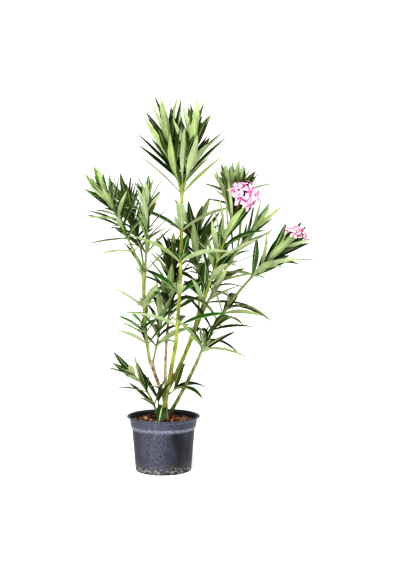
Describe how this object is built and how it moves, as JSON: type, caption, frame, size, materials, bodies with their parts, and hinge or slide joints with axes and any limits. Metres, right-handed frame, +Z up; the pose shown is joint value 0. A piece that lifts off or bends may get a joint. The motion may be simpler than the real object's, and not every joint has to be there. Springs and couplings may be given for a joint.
{
  "type": "potted oleander",
  "caption": "Young flowering shrub with several leafy stems, long narrow leaves in whorls and pink flower trusses, growing in a round moulded nursery pot.",
  "frame": {"origin": "centre of the pot's flat underside", "axes": "+Z up along the pot's axis; -Y towards the front, from where the tallest stem stands before the others and the flowers are on the right; +X to the right"},
  "size_m": [0.6478, 0.4065, 1.0178],
  "materials": {
    "pot": "dark grey moulded plastic, dusty",
    "soil": "moist potting soil with bark chips",
    "bark": "thin tan bark",
    "green_stem": "smooth yellow-green young bark",
    "foliage": "leathery leaves"
  },
  "bodies": {
    "root": {"pot": "pot", "soil": "soil", "trunk": "bark", "leader_bough": "green_stem", "far_bough": "green_stem", "left_bough": "bark", "centre_bough": "bark", "right_bough": "green_stem", "leader_tier": "foliage", "leader_crown": "foliage", "left_fan": "foliage", "left_outer": "foliage", "left_back": "foliage", "left_inner": "foliage", "left_twig": "foliage", "centre_spray": "foliage", "right_back": "foliage", "bloom": "foliage", "right_spray": "foliage", "far_spray": "foliage", "low_left": "foliage", "basal_sprig": "foliage", "basal_leaf": "foliage", "fork_sprig": "foliage"}
  },
  "joints": []
}
